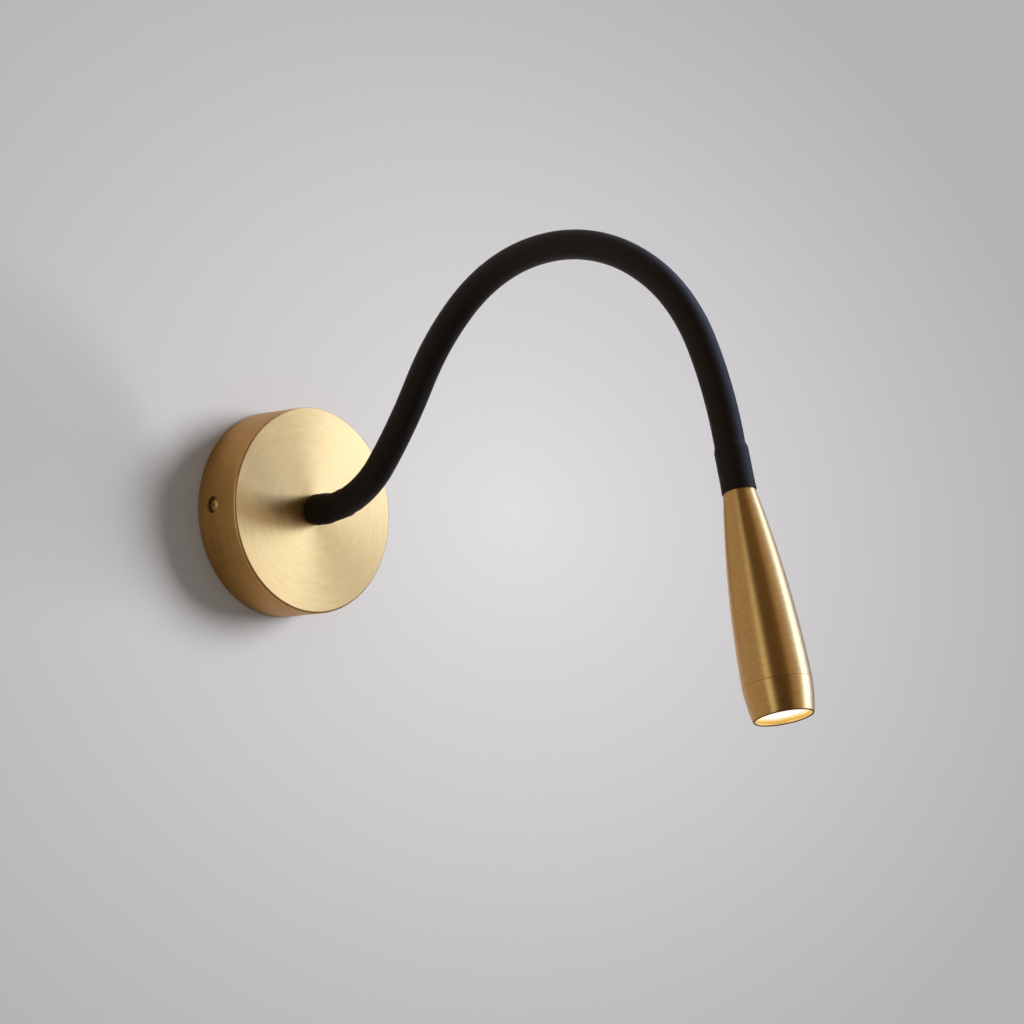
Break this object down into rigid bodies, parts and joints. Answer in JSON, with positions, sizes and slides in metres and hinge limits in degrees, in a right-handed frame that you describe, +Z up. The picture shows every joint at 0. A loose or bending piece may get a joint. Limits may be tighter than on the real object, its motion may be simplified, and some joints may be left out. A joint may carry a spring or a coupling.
{
  "type": "adjustable wall light",
  "caption": "Wall light with a round brass canopy, a sleeved gooseneck arm that bends and stays, and a turned brass spot head.",
  "frame": {"origin": "middle of the canopy's back on the wall, midway between the two slots for the wall screws", "axes": "+Z up, -Y out of the wall, X along the wall to the right as seen from the room"},
  "size_m": [0.09, 0.3069, 0.2085],
  "materials": {
    "satin_brass": "satin, brushed",
    "black_silicone": "matte",
    "wound_steel": "plain",
    "zinc_steel": "zinc plated",
    "bare_aluminium": "machined",
    "white_plastic": "moulded",
    "white_foam": "foam",
    "white_board": "solder mask",
    "green_board": "solder mask",
    "black_ferrite": "plain",
    "brown_lead": "insulation",
    "green_lead": "insulation",
    "black_lead": "insulation",
    "led_phosphor": "warm white LED",
    "clear_lens": "clear moulded acrylic"
  },
  "bodies": {
    "wall_base": {"canopy": "satin_brass", "wall_bracket": "zinc_steel", "side_screws": "satin_brass", "earth_screw": "zinc_steel", "earth_lead": "green_lead", "earth_ring": "zinc_steel", "driver_case": "white_plastic", "driver_lid": "white_plastic", "driver_board": "green_board", "driver_transformer": "black_ferrite", "driver_capacitors": "black_ferrite", "driver_tape": "white_foam", "terminal_block": "white_plastic", "terminal_clamps": "satin_brass", "terminal_screws": "zinc_steel", "terminal_tape": "white_foam", "mains_leads": "brown_lead", "output_leads": "black_lead", "arm_nut": "zinc_steel", "toothed_washer": "zinc_steel", "base_ferrule": "zinc_steel", "arm_sleeve_1": "black_silicone", "arm_core_1": "wound_steel", "arm_leads_1": "black_lead"},
    "arm_1": {"arm_core_2": "wound_steel", "arm_sleeve_2": "black_silicone", "arm_leads_2": "black_lead"},
    "arm_2": {"arm_core_3": "wound_steel", "arm_sleeve_3": "black_silicone", "arm_leads_3": "black_lead"},
    "arm_3": {"arm_core_4": "wound_steel", "arm_sleeve_4": "black_silicone", "arm_leads_4": "black_lead"},
    "arm_4": {"arm_core_5": "wound_steel", "arm_sleeve_5": "black_silicone", "arm_leads_5": "black_lead"},
    "arm_5": {"arm_core_6": "wound_steel", "arm_sleeve_6": "black_silicone", "arm_leads_6": "black_lead"},
    "arm_6": {"arm_core_7": "wound_steel", "arm_sleeve_7": "black_silicone", "arm_leads_7": "black_lead"},
    "arm_7": {"arm_core_8": "wound_steel"},
    "lamp_head": {"arm_core_9": "wound_steel", "arm_sleeve_8": "black_silicone", "arm_leads_8": "black_lead", "lamp_ferrule": "zinc_steel", "head_body": "satin_brass", "nose_ring": "satin_brass", "heat_sink": "bare_aluminium", "led_board": "white_board", "led": "led_phosphor", "solder_joints": "zinc_steel", "head_leads": "black_lead", "lens_holder": "white_plastic", "lens": "clear_lens"}
  },
  "joints": [
    {"name": "bend_1", "type": "hinge", "parent": "wall_base", "child": "arm_1", "pos_m": [0, -0.0514, 0.00421], "axis": [1, 0, 0], "range_deg": [-6, 45], "deforming": ["arm_sleeve_1", "arm_leads_1"]},
    {"name": "bend_2", "type": "hinge", "parent": "arm_1", "child": "arm_2", "pos_m": [0, -0.07975, 0.03173], "axis": [0, 0.809, 0.5878], "range_deg": [-25, 25], "deforming": ["arm_sleeve_2", "arm_leads_2"]},
    {"name": "bend_3", "type": "hinge", "parent": "arm_2", "child": "arm_3", "pos_m": [0, -0.10252, 0.06457], "axis": [-1, 0, 0], "range_deg": [-25, 30], "deforming": ["arm_sleeve_3", "arm_leads_3"]},
    {"name": "bend_4", "type": "hinge", "parent": "arm_3", "child": "arm_4", "pos_m": [0, -0.13381, 0.08901], "axis": [0, 0.4226, 0.9063], "range_deg": [-25, 25], "deforming": ["arm_sleeve_4", "arm_leads_4"]},
    {"name": "bend_5", "type": "hinge", "parent": "arm_4", "child": "arm_5", "pos_m": [0, -0.17267, 0.09692], "axis": [-1, 0, 0], "range_deg": [-25, 30], "deforming": ["arm_sleeve_5", "arm_leads_5"]},
    {"name": "bend_6", "type": "hinge", "parent": "arm_5", "child": "arm_6", "pos_m": [0, -0.21136, 0.08799], "axis": [0, -0.4226, 0.9063], "range_deg": [-25, 25], "deforming": ["arm_sleeve_6", "arm_leads_6"]},
    {"name": "bend_7", "type": "hinge", "parent": "arm_6", "child": "arm_7", "pos_m": [0, -0.24289, 0.06391], "axis": [-1, 0, 0], "range_deg": [-25, 30], "deforming": ["arm_sleeve_7", "arm_leads_7"]},
    {"name": "bend_8", "type": "hinge", "parent": "arm_7", "child": "lamp_head", "pos_m": [0, -0.26149, 0.02872], "axis": [0, -0.9397, 0.342], "range_deg": [-25, 25], "deforming": ["arm_sleeve_8", "arm_leads_8"]}
  ]
}
